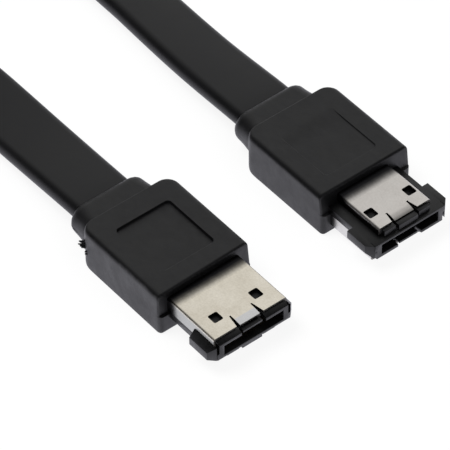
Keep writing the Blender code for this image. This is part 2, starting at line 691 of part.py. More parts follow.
def make_tie(mat):
    """Strap around the turns on the coil's far side, its tail laid over the top."""
    hole_edge = (COIL_HOLE ** 2 - (TIE_WIDTH / 2) ** 2) ** 0.5 - CABLE_WIDTH * COIL_SLOPE
    inner = (-COIL_RIM - TIE_GAP, -hole_edge + TIE_GAP)
    outer = (inner[0] - TIE_THICKNESS, inner[1] + TIE_THICKNESS)
    low = TIE_THICKNESS
    high = CABLE_WIDTH + COIL_SLOPE * 2 * COIL_RIM + 2 * TIE_GAP
    radius = 0.5 * MM
    rings = []
    for x0, x1, z0, z1, r in ((*outer, 0.0, high + TIE_THICKNESS, radius + TIE_THICKNESS),
                              (*inner, low, high, radius)):
        rings.append(rounded_rectangle(x0, x1, z0, z1, [r] * 4, steps=4))
    bm = bmesh.new()
    half = TIE_WIDTH / 2
    walls = [[[bm.verts.new((x, y, z)) for x, z in ring] for ring in rings]
             for y in (-half, half)]
    count = len(rings[0])
    for i in range(count):
        j = (i + 1) % count
        (low_out, low_in), (high_out, high_in) = walls
        bm.faces.new((low_out[i], low_out[j], high_out[j], high_out[i]))
        bm.faces.new((low_in[i], high_in[i], high_in[j], low_in[j]))
        bm.faces.new((low_out[i], low_in[i], low_in[j], low_out[j]))
        bm.faces.new((high_out[i], high_out[j], high_in[j], high_in[i]))
    obj = make_object("cable_tie", bm, mat, smooth=35)
    obj.location = (COIL_CENTRE.x, COIL_CENTRE.y, 0)
    middle = (outer[0] + outer[1]) / 2
    top = high + TIE_THICKNESS
    tail = box(middle - TIE_TAIL / 2, middle + TIE_TAIL / 2, -half, half,
               top - TIE_THICKNESS / 2, top + TIE_THICKNESS)
    tool = boolean(obj, tail, "tie_tail", "UNION")
    tool.location = obj.location
    return obj


def main():
    for obj in list(bpy.data.objects):
        bpy.data.objects.remove(obj, do_unlink=True)
    mats = {
        "overmould": make_material("black_moulded_plastic", (0.03, 0.03, 0.032), 0.5),
        "insulator": make_material("black_insulator_plastic", (0.02, 0.02, 0.021), 0.4),
        "inner_mould": make_material("natural_inner_plastic", (0.7, 0.68, 0.62), 0.5),
        "shell": make_material("satin_nickel_steel", (0.72, 0.7, 0.66), 0.25, 1.0),
        "contact": make_material("gold_plated_contact", (0.83, 0.62, 0.28), 0.25, 1.0),
        "wire": make_material("tinned_copper_wire", (0.75, 0.72, 0.68), 0.35, 1.0),
        "cable": make_material("black_cable_jacket", (0.03, 0.03, 0.032), 0.55),
        "tie": make_material("black_strap", (0.02, 0.02, 0.02), 0.9),
    }
    make_plug("a", -PLUG_SPACING / 2, REACH_A, 0.0, False, mats)
    make_plug("b", PLUG_SPACING / 2, REACH_B, BODY_SHIFT_B, True, mats)
    section = make_profile()
    make_run("cable_run_a", run_a_route(), section, mats["cable"])
    make_run("cable_run_b", run_b_route(), section, mats["cable"])
    make_coil(mats["cable"])
    make_tie(mats["tie"])


main()
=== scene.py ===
import random
from math import cos, pi, radians, sin, sqrt

import bmesh
import bpy
import numpy as np
from mathutils import Matrix, Vector


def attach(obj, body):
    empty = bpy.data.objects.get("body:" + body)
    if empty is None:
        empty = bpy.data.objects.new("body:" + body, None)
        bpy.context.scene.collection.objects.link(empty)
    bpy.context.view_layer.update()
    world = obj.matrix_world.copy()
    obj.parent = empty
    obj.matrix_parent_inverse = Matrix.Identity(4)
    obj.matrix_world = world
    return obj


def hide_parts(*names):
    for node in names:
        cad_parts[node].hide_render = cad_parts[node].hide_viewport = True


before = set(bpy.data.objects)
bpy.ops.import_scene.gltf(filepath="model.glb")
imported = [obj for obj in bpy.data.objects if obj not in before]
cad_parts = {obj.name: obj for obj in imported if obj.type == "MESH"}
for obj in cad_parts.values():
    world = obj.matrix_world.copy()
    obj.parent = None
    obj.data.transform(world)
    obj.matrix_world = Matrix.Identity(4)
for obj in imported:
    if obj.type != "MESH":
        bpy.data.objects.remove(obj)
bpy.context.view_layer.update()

mm = 0.001
scene = bpy.context.scene

layout = {                  # mm
    "gripFrontX": 5.15,     # front face of both grips
    "spacing": 26.9,        # between the middles of the two plugs
    "gripLength": 16.2,
    "gripHeight": 6.6,
    "neckLength": 4.2,
    "reachA": 10.1,         # how far the insert stands out of its grip
    "reachB": 8.9,
}
midHeight = layout["gripHeight"] / 2

view = {
    "target": (-4.44, -2.28, 0.0),   # mm
    "heading": (0.7827, -0.6224),    # from the target towards the camera
    "elevation": 45.718,             # degrees
    "distance": 489.16,              # mm
    "roll": 0.624,                   # degrees
    "lens": 300.7,                   # on a sensor 36 mm wide
    "nearest": 10,                   # mm, where the camera starts to see
}


def addCamera():
    cam = bpy.data.cameras.new("camera")
    cam.lens = view["lens"]
    cam.sensor_width = 36
    cam.clip_start = view["nearest"] * mm
    obj = bpy.data.objects.new("camera", cam)
    scene.collection.objects.link(obj)
    tilt = radians(view["elevation"])
    side = Vector((*view["heading"], 0)).normalized()
    away = side * cos(tilt) + Vector((0, 0, sin(tilt)))
    obj.location = Vector(view["target"]) * mm + away * view["distance"] * mm
    turn = away.to_track_quat("Z", "Y").to_matrix()
    obj.rotation_euler = (turn @ Matrix.Rotation(radians(-view["roll"]), 3, "Z")).to_euler()
    scene.camera = obj


addCamera()
scene.view_settings.view_transform = "Standard"
print("camera done")


def treeNode(tree, kind, inputs=None, **settings):      # one node with its settings, links and values
    made = tree.nodes.new(kind)
    for key, value in settings.items():
        setattr(made, key, value)
    for key, value in (inputs or {}).items():
        if isinstance(value, bpy.types.NodeSocket):
            tree.links.new(value, made.inputs[key])
        else:
            made.inputs[key].default_value = value
    return made


def setStops(ramp, stops):      # stops are (place, grey level)
    ramp.elements.remove(ramp.elements[1])
    for number, (place, level) in enumerate(stops):
        stop = ramp.elements.new(place) if number else ramp.elements[0]
        stop.position = place
        stop.color = (level, level, level, 1)


studio = {
    "worldLight": 0.4,          # what lights the surfaces
    "panelElevation": 35.0,     # degrees, bright panel behind the object that the shine shows
    "panelLevels": ((0.0, 0.1), (0.5, 0.1), (0.74, 0.45), (0.92, 1.0)),   # by closeness to its middle
    "mirrorFloor": (1.27, 1.26, 1.39),    # floor as the shine shows it
    "floorLevel": 1.02,         # floor as the camera sees it out of the shadow
    "floorShade": 0.15,         # part of this level that can fall into shadow
    "floorHalf": 3.0,           # m
    "floorBelow": 0.02,         # mm below the object
    "keyLamp": {"place": (-0.25, -0.25, 0.8), "size": 0.5, "power": 4.2},      # metres and watts
    "fillLamp": {"place": (0.5, 0.1, 0.7), "size": 0.5, "power": 1.2},
}


def addWorld():
    world = bpy.data.worlds.new("studio")
    scene.world = world
    world.use_nodes = True
    world.cycles.sampling_method = "NONE"
    tree = world.node_tree
    path = treeNode(tree, "ShaderNodeLightPath")
    mirror = treeNode(tree, "ShaderNodeMath", {0: path.outputs["Is Glossy Ray"],
                                               1: path.outputs["Is Transmission Ray"]}, operation="MAXIMUM")
    where = treeNode(tree, "ShaderNodeTexCoord")
    rise = radians(studio["panelElevation"])
    x, y = view["heading"]
    panel = (-x * cos(rise), -y * cos(rise), sin(rise))
    closeness = treeNode(tree, "ShaderNodeVectorMath", {0: where.outputs["Generated"], 1: panel},
                         operation="DOT_PRODUCT")
    sky = treeNode(tree, "ShaderNodeValToRGB", {0: closeness.outputs["Value"]})
    sky.color_ramp.interpolation = "EASE"
    setStops(sky.color_ramp, studio["panelLevels"])
    lit = treeNode(tree, "ShaderNodeMix", {0: mirror.outputs[0], 2: studio["worldLight"], 3: sky.outputs[0]})
    seen = treeNode(tree, "ShaderNodeMix", {0: path.outputs["Is Camera Ray"], 2: lit.outputs[0], 3: 1.0})
    back = tree.nodes["Background"]
    back.inputs["Color"].default_value = (1, 1, 1, 1)
    tree.links.new(seen.outputs[0], back.inputs["Strength"])


def floorMaterial():        # glows for the camera and the shine, and is plain for all other light
    mat = bpy.data.materials.new("paleFloor")
    mat.use_nodes = True
    tree = mat.node_tree
    tree.nodes.clear()
    shade = studio["floorShade"]
    path = treeNode(tree, "ShaderNodeLightPath")
    mirror = treeNode(tree, "ShaderNodeMath", {0: path.outputs["Is Glossy Ray"],
                                               1: path.outputs["Is Transmission Ray"]}, operation="MAXIMUM")
    seen = treeNode(tree, "ShaderNodeMath", {0: mirror.outputs[0], 1: path.outputs["Is Camera Ray"]},
                    operation="MAXIMUM", use_clamp=True)
    shaded = treeNode(tree, "ShaderNodeBsdfDiffuse", {"Color": (shade, shade, shade, 1)})
    level = treeNode(tree, "ShaderNodeMix", {0: mirror.outputs[0],
                                             6: (studio["floorLevel"] - shade,) * 3 + (1,),
                                             7: (*studio["mirrorFloor"], 1)}, data_type="RGBA")
    glow = treeNode(tree, "ShaderNodeEmission", {"Color": level.outputs[2]})
    white = treeNode(tree, "ShaderNodeAddShader", {0: shaded.outputs[0], 1: glow.outputs[0]})
    plain = treeNode(tree, "ShaderNodeBsdfDiffuse", {"Color": (0.8, 0.8, 0.8, 1)})
    pick = treeNode(tree, "ShaderNodeMixShader",
                    {0: seen.outputs[0], 1: plain.outputs[0], 2: white.outputs[0]})
    treeNode(tree, "ShaderNodeOutputMaterial", {"Surface": pick.outputs[0]})
    return mat


def addFloor():
    mesh = bpy.data.meshes.new("floor")
    half = studio["floorHalf"]
    mesh.from_pydata([(-half, -half, 0), (half, -half, 0), (half, half, 0), (-half, half, 0)],
                     [], [(0, 1, 2, 3)])
    mesh.materials.append(floorMaterial())
    floor = bpy.data.objects.new("floor", mesh)
    scene.collection.objects.link(floor)
    floor.location.z = -studio["floorBelow"] * mm


def addLamp(name):
    own = studio[name]
    lamp = bpy.data.lights.new(name, "AREA")
    lamp.shape = "RECTANGLE"
    lamp.size = lamp.size_y = own["size"]
    lamp.energy = own["power"]
    obj = bpy.data.objects.new(name, lamp)
    scene.collection.objects.link(obj)
    obj.location = own["place"]
    obj.rotation_euler = Vector(own["place"]).to_track_quat("Z", "Y").to_euler()     # aims at the origin
    obj.visible_glossy = False


addWorld()
addFloor()
addLamp("keyLamp")
addLamp("fillLamp")
print("studio done")


class Sock:         # a shader value that plain expressions can use
    def __init__(self, maker, out):
        self.maker, self.out = maker, out

    def math(self, operation, *values):
        return self.maker.node("ShaderNodeMath", {"operation": operation}, values)

    def __add__(self, other): return self.math("ADD", self, other)
    def __radd__(self, other): return self.math("ADD", other, self)
    def __sub__(self, other): return self.math("SUBTRACT", self, other)
    def __mul__(self, other): return self.math("MULTIPLY", self, other)
    def __rmul__(self, other): return self.math("MULTIPLY", other, self)
    def __truediv__(self, other): return self.math("DIVIDE", self, other)
    def __abs__(self): return self.math("ABSOLUTE", self)


class Shade:        # one material and its nodes
    def __init__(self, name, **constants):
        self.mat = bpy.data.materials.new(name)
        self.mat.use_nodes = True
        self.tree = self.mat.node_tree
        self.set(**constants)

    def set(self, **values):
        names = {"baseColor": "Base Color", "specular": "Specular IOR Level", "normal": "Normal",
                 "metallic": "Metallic", "roughness": "Roughness"}
        main = self.tree.nodes["Principled BSDF"]
        for key, value in values.items():
            self.plug(main.inputs[names[key]], value)

    def plug(self, socket, value):
        if isinstance(value, Sock):
            self.tree.links.new(value.out, socket)
        else:
            socket.default_value = (*value, 1) if socket.type == "RGBA" else value

    def node(self, kind, settings=None, inputs=(), out=0):
        made = self.tree.nodes.new(kind)
        for key, value in (settings or {}).items():
            setattr(made, key, value)
        pairs = inputs.items() if isinstance(inputs, dict) else enumerate(inputs)
        for key, value in pairs:
            self.plug(made.inputs[key], value)
        return Sock(self, made.outputs[out])

    def place(self):
        return self.node("ShaderNodeTexCoord", out="Object")

    def along(self, axis):      # metres along x, y or z, as 0, 1 or 2
        return self.node("ShaderNodeSeparateXYZ", None, [self.place()], out=axis)

    def noise(self, scale, detail, rough=0.5, stretch=None):
        vector = self.place()
        if stretch:
            vector = self.node("ShaderNodeMapping", None, {"Vector": vector, "Scale": stretch})
        return self.node("ShaderNodeTexNoise", None,
                         {"Vector": vector, "Scale": scale, "Detail": detail, "Roughness": rough})

    def ramp(self, value, *stops):
        made = self.node("ShaderNodeValToRGB", None, [value])
        setStops(made.out.node.color_ramp, stops)
        return made

    def mix(self, factor, a, b):
        return self.node("ShaderNodeMix", {"data_type": "RGBA"}, {0: factor, 6: a, 7: b}, out=2)

    def bump(self, height, depth, strength, under=None):      # depth in mm
        inputs = {"Height": height, "Distance": depth * mm, "Strength": strength}
        if under:
            inputs["Normal"] = under
        return self.node("ShaderNodeBump", None, inputs)


def gripPlastic():
    look = {"dark": (0.0025, 0.0025, 0.0028), "light": (0.005, 0.005, 0.0057),
            "wallStreaks": (0.04, 0.04, 0.043),      # lighter streaks on the side walls
            "wall": (7.1, 7.3),                 # mm from the grip's middle, where its side wall begins
            "roughness": 0.3, "grain": 0.006, "waves": 0.045}
    s = Shade("gripPlastic", specular=0.35)
    smudge = s.noise(160, 5, 0.6)
    plain = s.mix(s.ramp(smudge, (0.35, 0.0), (0.7, 1.0)), look["dark"], look["light"])
    fromMiddle = abs(abs(s.along(1) / mm) - layout["spacing"] / 2)
    onWall = s.ramp(fromMiddle / 10, (look["wall"][0] / 10, 0.0), (look["wall"][1] / 10, 1.0))
    streaks = s.ramp(s.noise(240, 6, 0.7, stretch=(1, 1, 0.6)), (0.46, 0.0), (0.68, 1.0))
    s.set(baseColor=s.mix(streaks * onWall, plain, look["wallStreaks"]))
    scuff = s.noise(520, 5, 0.7, stretch=(1, 1.6, 1))
    s.set(roughness=look["roughness"] + 0.16 * smudge + 0.22 * scuff)
    grain = s.bump(s.noise(9000, 2), look["grain"], 0.5)
    s.set(normal=s.bump(s.noise(620, 4, 0.6), look["waves"], 0.6, grain))
    return s.mat


def jacketPlastic():
    look = {"dark": (0.0025, 0.0025, 0.0029), "light": (0.0045, 0.0045, 0.0052),
            "roughness": 0.38, "grain": 0.005, "waves": 0.05}
    s = Shade("jacketPlastic", specular=0.27)
    cloud = s.noise(120, 4, 0.55)
    s.set(baseColor=s.mix(s.ramp(cloud, (0.3, 0.0), (0.75, 1.0)), look["dark"], look["light"]))
    s.set(roughness=look["roughness"] + 0.16 * cloud)
    grain = s.bump(s.noise(5200, 2), look["grain"], 0.5)
    s.set(normal=s.bump(s.noise(260, 3), look["waves"], 0.45, grain))
    return s.mat


def insulatorPlastic():
    look = {"dark": (0.0015, 0.0015, 0.0017), "light": (0.004, 0.004, 0.0044), "roughness": 0.3,
            "waves": 0.012}
    s = Shade("insulatorPlastic", specular=0.35)
    cloud = s.noise(900, 4, 0.6)
    s.set(baseColor=s.mix(s.ramp(cloud, (0.4, 0.0), (0.75, 1.0)), look["dark"], look["light"]))
    s.set(roughness=look["roughness"] + 0.22 * cloud)
    s.set(normal=s.bump(s.noise(2600, 3), look["waves"], 0.5))
    return s.mat


nickelLooks = {       # the last entry of each look is how many mm of painted shade lie in front of the grip: the grip's shadow and its dark reflection in the sheet
    # painted light and shade: the four looks are copies of one nickel, coloured apart for how light falls on
    # each shell, and side is a painted shade and reflection colour for the folded side walls
    "A": {"bright": (0.775, 0.73, 0.635), "tarnish": (0.585, 0.54, 0.45),
          "side": (0.35, 0.355, 0.33), "paintedShadeReach": 0.7},
    "B": {"bright": (0.615, 0.59, 0.56), "tarnish": (0.5, 0.475, 0.445),
          "side": (0.06, 0.058, 0.055), "paintedShadeReach": 0.35},
    # painted highlight: the copy for the front of plug a's rolled tab
    "TabHighlight": {"bright": (0.66, 0.66, 0.665), "tarnish": (0.56, 0.56, 0.555),
               "side": (0.35, 0.35, 0.34), "paintedShadeReach": 0.3},
    "Below": {"bright": (0.615, 0.59, 0.56), "tarnish": (0.5, 0.475, 0.445),
              "side": (0.5, 0.495, 0.465), "paintedShadeReach": 0.0},
}
# painted shade: colour and fade of the dark band on the sheet in front of the grip
paintedShadeColor = (0.012, 0.012, 0.013)
paintedShadeFade = ((0.0, 0.0), (0.4, 0.07), (0.8, 0.28), (1.25, 0.75), (1.6, 1.0))   # mm past it, share left unshaded


def nickelSheet(name, bright, tarnish, side, paintedShadeReach):
    s = Shade("nickelSheet" + name, metallic=1.0)
    patch = s.noise(330, 6, 0.62)
    speck = s.noise(3600, 3, 0.7)
    stain = s.ramp(patch * 0.6 + speck * 0.4, (0.36, 0.0), (0.64, 1.0))
    span = 3.0        # mm that the two ramps below cover
    onFlat = s.ramp(abs(s.along(2) / mm - midHeight) / span, (0.62, 0.0), (0.7, 1.0))   # not folded sides
    # painted shade and reflection: the folded side walls take the side colour instead of the plate's
    metal = s.mix(onFlat, side, s.mix(stain, tarnish, bright))
    # painted shade: the sheet darkens towards the grip's front face
    ahead = (s.along(0) / mm - layout["gripFrontX"]) / span + 0.1 * s.noise(900, 3, 0.6)
    unshadedShare = s.ramp(ahead, *[((paintedShadeReach + past) / span, level) for past, level in paintedShadeFade])
    s.set(baseColor=s.mix(unshadedShare, paintedShadeColor, metal))
    s.set(roughness=0.22 + 0.16 * patch + 0.08 * speck)
    rolled = s.bump(s.noise(3000, 2, 0.5, stretch=(0.06, 1, 1)), 0.0025, 0.5)
    s.set(normal=s.bump(s.noise(1100, 3), 0.006, 0.4, rolled))
    return s.mat


plainLooks = {        # roughness is its least value and its range; patches are the settings of the noise
    # partly painted shade: a bare sheared edge, made darker than bare steel so the rims of the windows and
    # slits look shaded
    "shearedEdgeAndShade": {"dark": (0.1, 0.095, 0.09), "light": (0.2, 0.19, 0.17), "patches": (2400, 3, 0.6),
                    "roughness": (0.5, 0.0), "shine": {"metallic": 1.0}},
    "goldContact": {"dark": (0.72, 0.5, 0.2), "light": (0.86, 0.66, 0.32), "patches": (1500, 3),
                    "roughness": (0.2, 0.15), "shine": {"metallic": 1.0}},
    "tinnedCopper": {"dark": (0.6, 0.56, 0.5), "light": (0.78, 0.74, 0.7), "patches": (2000, 3),
                     "roughness": (0.3, 0.15), "shine": {"metallic": 1.0}},
    "naturalPlastic": {"dark": (0.6, 0.57, 0.5), "light": (0.72, 0.7, 0.64), "patches": (400, 3),
                       "roughness": (0.45, 0.1), "shine": {"specular": 0.4}},
}


def plainMaterial(name, dark, light, patches, roughness, shine):
    s = Shade(name, **shine)
    patch = s.noise(*patches)
    least, spread = roughness
    s.set(baseColor=s.mix(patch, dark, light), roughness=least + spread * patch if spread else least)
    return s.mat


def strapWeave():
    look = {"dark": (0.008, 0.008, 0.009), "light": (0.022, 0.022, 0.024), "roughness": 0.85, "depth": 0.12}
    s = Shade("strapWeave", specular=0.2)
    across, along = (s.node("ShaderNodeTexWave", {"wave_type": "BANDS", "bands_direction": direction},
                            {"Vector": s.place(), "Scale": scale, "Distortion": 0.6})
                     for direction, scale in (("Y", 900), ("X", 700)))
    threads = across * 0.5 + along * 0.5
    s.set(baseColor=s.mix(threads, look["dark"], look["light"]), roughness=look["roughness"])
    s.set(normal=s.bump(threads, look["depth"], 0.8))
    return s.mat


grip, jacket, insulation = gripPlastic(), jacketPlastic(), insulatorPlastic()
nickel = {name: nickelSheet(name, **look) for name, look in nickelLooks.items()}
shearedRimAndShade, gold, tinned, natural = [plainMaterial(name, **look) for name, look in plainLooks.items()]
weave = strapWeave()
print("materials done")


def plugMatrix(tag):        # grip frame in mm: origin on the floor under the grip's front face
    y = layout["spacing"] / 2 * (-1 if tag == "a" else 1)
    return Matrix.Translation(Vector((layout["gripFrontX"], y, 0)) * mm) @ Matrix.Scale(mm, 4)


def insertMatrix(tag):      # insert frame in mm: origin in the insulator's front face, wide side up
    reach = layout["reachA"] if tag == "a" else layout["reachB"]
    turn = Matrix.Rotation(0 if tag == "a" else pi, 4, "X")
    return plugMatrix(tag) @ Matrix.Translation((reach, 0, midHeight)) @ turn


def fixNormals(mesh):
    bm = bmesh.new()
    bm.from_mesh(mesh)
    bmesh.ops.recalc_face_normals(bm, faces=bm.faces)
    bm.to_mesh(mesh)
    bm.free()


def shadeSmooth(mesh, angle):       # smooth below this angle, in degrees
    mesh.shade_smooth()
    mesh.set_sharp_from_angle(angle=radians(angle))


def addObject(name, mesh):
    obj = bpy.data.objects.new(name, mesh)
    scene.collection.objects.link(obj)
    return obj


def meshObject(name, verts, faces, mat, matrix, smooth):
    mesh = bpy.data.meshes.new(name)
    mesh.from_pydata([tuple(v) for v in verts], [], faces)
    mesh.transform(matrix)
    mesh.materials.append(mat)
    fixNormals(mesh)
    shadeSmooth(mesh, smooth)
    return addObject(name, mesh)


def bake(obj, smooth):      # the evaluated object as a plain mesh, without its modifiers
    graph = bpy.context.evaluated_depsgraph_get()
    mesh = bpy.data.meshes.new_from_object(obj.evaluated_get(graph))
    obj.modifiers.clear()
    old = obj.data
    obj.data = mesh
    if not old.users:
        bpy.data.meshes.remove(old)
    shadeSmooth(mesh, smooth)


def nodeCopy(node, name, mat):      # a CAD node with its flat faces made whole again
    flatness = 2.0      # degrees
    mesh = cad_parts[node].data.copy()
    mesh.name = name
    bm = bmesh.new()
    bm.from_mesh(mesh)
    bmesh.ops.remove_doubles(bm, verts=bm.verts, dist=0.0001 * mm)
    bmesh.ops.dissolve_limit(bm, angle_limit=radians(flatness), verts=bm.verts, edges=bm.edges)
    bmesh.ops.recalc_face_normals(bm, faces=bm.faces)
    bm.to_mesh(mesh)
    bm.free()
    mesh.materials.clear()
    mesh.materials.append(mat)
    return addObject(name, mesh)


def softenEdges(obj, width, angle):
    bevel = obj.modifiers.new("softEdges", "BEVEL")
    bevel.width = width * mm
    bevel.segments = 2
    bevel.limit_method = "ANGLE"
    bevel.angle_limit = radians(angle)
    bake(obj, 50)


def smoothStep(t):
    t = np.clip(t, 0, 1)
    return t * t * (3 - 2 * t)


def finish(obj, slotName, *nodes):
    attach(obj, "root")
    if nodes:
        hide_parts(*nodes)
    return obj


cable = {                       # mm and degrees
    "width": 9.3,
    "thickness": 2.6,
    "edgeRound": 1.25,
    "coilCentre": (-125.15, 0.0),
    "firstTurn": 32.0,          # radius of the first turn
    "pitch": 3.3,               # each turn lies this far outside the last
    "turns": 3,
    "exitAngle": 64.0,          # where the outer end leaves the coil
    "clear": 0.04,              # over the floor
    "lean": 0.011465,           # the coil rises by this much per mm away from its rim, onto the strap
    "rim": 43.538,              # where it rests on the floor, ahead of its centre
    "step": 1.5,                # between the sections
}
routeA = [                      # x, y, z in mm and the twist in radians
    (-6.55, -13.65, 3.20, 0.000), (-14.25, -13.65, 3.20, 0.000), (-17.25, -13.65, 3.18, 0.020),
    (-29.25, -13.45, 2.47, -0.030), (-41.25, -13.30, 2.00, -0.080), (-55.61, -13.45, 2.30, 0.000),
    (-68.61, -13.45, 5.74, 0.000), (-81.61, -13.45, 10.80, 0.000), (-89.61, -13.45, 11.49, 0.000),
    (-96.55, -13.45, 11.07, 0.000), (-125.15, -13.45, 10.24, 0.067), (-131.25, -12.62, 9.32, 0.245),
    (-136.89, -10.18, 8.26, 0.497), (-141.68, -6.32, 7.18, 0.785), (-145.26, -1.31, 6.24, 1.074),
    (-147.36, 4.47, 5.57, 1.325), (-147.84, 10.60, 5.31, 1.503), (-146.65, 16.64, 5.30, 1.571),
    (-143.89, 22.13, 5.26, 1.571),
]
routeB = [
    (-92.13, 30.78, 4.97, 1.571), (-85.15, 27.51, 4.95, 1.618), (-75.17, 22.26, 4.90, 2.011),
    (-63.20, 17.30, 3.60, 2.660), (-52.60, 14.95, 2.10, 3.000), (-42.25, 14.45, 1.95, 3.030),
    (-29.25, 13.75, 2.47, 3.080), (-17.25, 13.45, 3.30, pi), (-14.25, 13.45, 3.30, pi),
    (-6.55, 13.45, 3.30, pi),
]


def coilRoute():        # part of a smaller circle, then the turns
    cx, cy = cable["coilCentre"]

    def onEdge(x, y):       # a point of the coil, where the cable stands on its edge
        lift = cable["lean"] * (cable["rim"] - x)
        return cx + x, cy + y, cable["width"] / 2 + cable["clear"] + lift, pi / 2

    run = layout["spacing"] / 2         # the straight part passes this far from the centre
    small = (cable["firstTurn"] + run) / 2
    middle = small - run
    points = [onEdge(-small * sin(radians(turn)), middle - small * cos(radians(turn)))
              for turn in (140, 160, 175)]
    total = 360 * cable["turns"] + 90 - cable["exitAngle"]
    steps = 24 * cable["turns"]
    for k in range(steps + 1):
        turned = total * k / steps
        angle = radians(90 - turned)
        radius = cable["firstTurn"] + cable["pitch"] * turned / 360
        points.append(onEdge(radius * cos(angle), radius * sin(angle)))
    return points


def smoothRoute(points, step):      # even steps along a smooth curve through the points, and its length
    parts = 16
    rows = [np.array(p) for p in points]
    rows = [2 * rows[0] - rows[1]] + rows + [2 * rows[-1] - rows[-2]]
    dense = []
    for k in range(1, len(rows) - 2):
        p0, p1, p2, p3 = rows[k - 1:k + 3]
        for j in range(parts):
            t = j / parts
            dense.append(0.5 * (2 * p1 + (p2 - p0) * t + (2 * p0 - 5 * p1 + 4 * p2 - p3) * t ** 2
                                + (3 * p1 - p0 - 3 * p2 + p3) * t ** 3))
    dense = np.array(dense + [rows[-2]])
    steps = np.linalg.norm(np.diff(dense[:, :3], axis=0), axis=1)
    along = np.concatenate([[0], np.cumsum(steps)])
    want = np.linspace(0, along[-1], int(along[-1] / step) + 1)
    return np.stack([np.interp(want, along, dense[:, i]) for i in range(4)], axis=1), along[-1]


def geometryTree(name, sizes):      # a geometry input and output, and one input for each named size
    tree = bpy.data.node_groups.new(name, "GeometryNodeTree")
    tree.interface.new_socket("Geometry", in_out="INPUT", socket_type="NodeSocketGeometry")
    for key, value in sizes.items():
        kind = "NodeSocketInt" if isinstance(value, int) else "NodeSocketFloat"
        tree.interface.new_socket(key, in_out="INPUT", socket_type=kind).default_value = value
    tree.interface.new_socket("Geometry", in_out="OUTPUT", socket_type="NodeSocketGeometry")
    return tree, tree.nodes.new("NodeGroupInput"), tree.nodes.new("NodeGroupOutput")


def endTree(tree, out, geometry, mat):
    real = treeNode(tree, "GeometryNodeRealizeInstances", {"Geometry": geometry})
    paint = treeNode(tree, "GeometryNodeSetMaterial", {"Geometry": real.outputs[0], "Material": mat})
    tree.links.new(paint.outputs[0], out.inputs["Geometry"])


def socketId(tree, name):
    return next(item.identifier for item in tree.interface.items_tree
                if item.item_type == "SOCKET" and item.in_out == "INPUT" and item.name == name)


def runTree(obj, tree, sizes, smooth):
    mod = obj.modifiers.new(tree.name, "NODES")
    mod.node_group = tree
    for key, value in sizes.items():
        mod[socketId(tree, key)] = value
    bake(obj, smooth)
    fixNormals(obj.data)


def ribbonTree(sizes, mat):     # flat cable along a line; each point's twist turns the section
    tree, source, out = geometryTree("flatCableAlongRoute", sizes)
    curve = treeNode(tree, "GeometryNodeMeshToCurve", {"Mesh": source.outputs["Geometry"]})
    upright = treeNode(tree, "GeometryNodeSetCurveNormal", {"Curve": curve.outputs[0]}, mode="Z_UP")
    twist = treeNode(tree, "GeometryNodeInputNamedAttribute", {"Name": "twist"}, data_type="FLOAT")
    tilted = treeNode(tree, "GeometryNodeSetCurveTilt",
                      {"Curve": upright.outputs[0], "Tilt": twist.outputs["Attribute"]})
    section = treeNode(tree, "GeometryNodeCurvePrimitiveQuadrilateral",
                       {"Width": source.outputs["Width"], "Height": source.outputs["Thickness"]})
    rounded = treeNode(tree, "GeometryNodeFilletCurve",
                       {"Curve": section.outputs[0], "Radius": source.outputs["Edge Round"], "Count": 8},
                       mode="POLY")
    tube = treeNode(tree, "GeometryNodeCurveToMesh",
                    {"Curve": tilted.outputs[0], "Profile Curve": rounded.outputs[0], "Fill Caps": True})
    endTree(tree, out, tube.outputs[0], mat)
    return tree


def makeCable():
    rows, length = smoothRoute(routeA + coilRoute() + routeB, cable["step"])
    line = bpy.data.meshes.new("cableLine")
    line.from_pydata([tuple(p * mm) for p in rows[:, :3]], [(i, i + 1) for i in range(len(rows) - 1)], [])
    twist = line.attributes.new("twist", "FLOAT", "POINT")
    twist.data.foreach_set("value", rows[:, 3].astype(np.float32))
    obj = addObject("flatCable", line)
    sizes = {"Width": cable["width"] * mm, "Thickness": cable["thickness"] * mm,
             "Edge Round": cable["edgeRound"] * mm}
    runTree(obj, ribbonTree(sizes, jacket), sizes, 50)
    print("cable length %.3f m" % (length * mm), len(obj.data.polygons), "faces")
    finish(obj, "cable", "cable_run_a", "cable_run_b", "cable_coil")
    return obj, rows[:, :3] * mm, length * mm


def makeStrap():        # hook and loop tape round the turns
    strap = nodeCopy("cable_tie", "cableStrap", weave)
    softenEdges(strap, 0.12, 35)
    return finish(strap, "tie", "cable_tie")


cableObj, cablePath, cableLength = makeCable()
strapObj = makeStrap()
print("cable done")


gripSize = {                            # mm; x runs forward from the grip's front face
    "width": 15.0,
    "rearRound": 1.6,                   # rear corners, seen from above
    "rearEdge": 0.1,                    # upper rear edge
    "rearBottom": 2.3,                  # lower rear edge
    "frontRound": 0.7,                  # front corners of the lower half, seen from above
    "upperFrontRound": 0.25,
    "frontEdge": 0.35,
    "sectionRound": 0.7,                # long upper edges
    "bottomRound": 0.2,                 # long lower edges
    "panelRear": -12.75, "panelFront": -3.2, "panelHalf": 4.35, "panelRound": 0.6,
    "panelSoft": 0.03,                  # half the width of the panel's wall
    "sink": 0.05,                       # of the large faces in their middle
    "neckHalf": 5.9, "neckTall": 2.35,  # half width and half height
    "neckFlare": 0.35, "neckRise": 0.06,
    "neckFillet": 0.3,                  # where the neck meets the grip
    "neckRound": 2.2,
    "neckEnd": 1.1,                     # rounding of its rear end
    "bite": 0.05,                       # how far the neck's mouth reaches into the cable
    "seam": 0.035,                      # half width of the step between the mould halves
    "frontDepth": 2.4,                  # how far back the changes at the front fade out
}
gripOwn = {     # rearWall is the length of the panel's sloping rear; topBack is for the left and right end
    "a": {"panelDepth": 0.4, "rearWall": 0.0, "shift": 0.1, "neckShift": -0.25, "parting": 2.95,
          "lowerAhead": 0.42, "seamBack": 0.0, "topBack": (0.0, 0.45)},
    "b": {"panelDepth": 0.14, "rearWall": 3.0, "shift": 0.3, "neckShift": 0.0, "parting": 3.35,
          "lowerAhead": 0.05, "seamBack": 0.35, "topBack": (0.75, 0.75)},
}


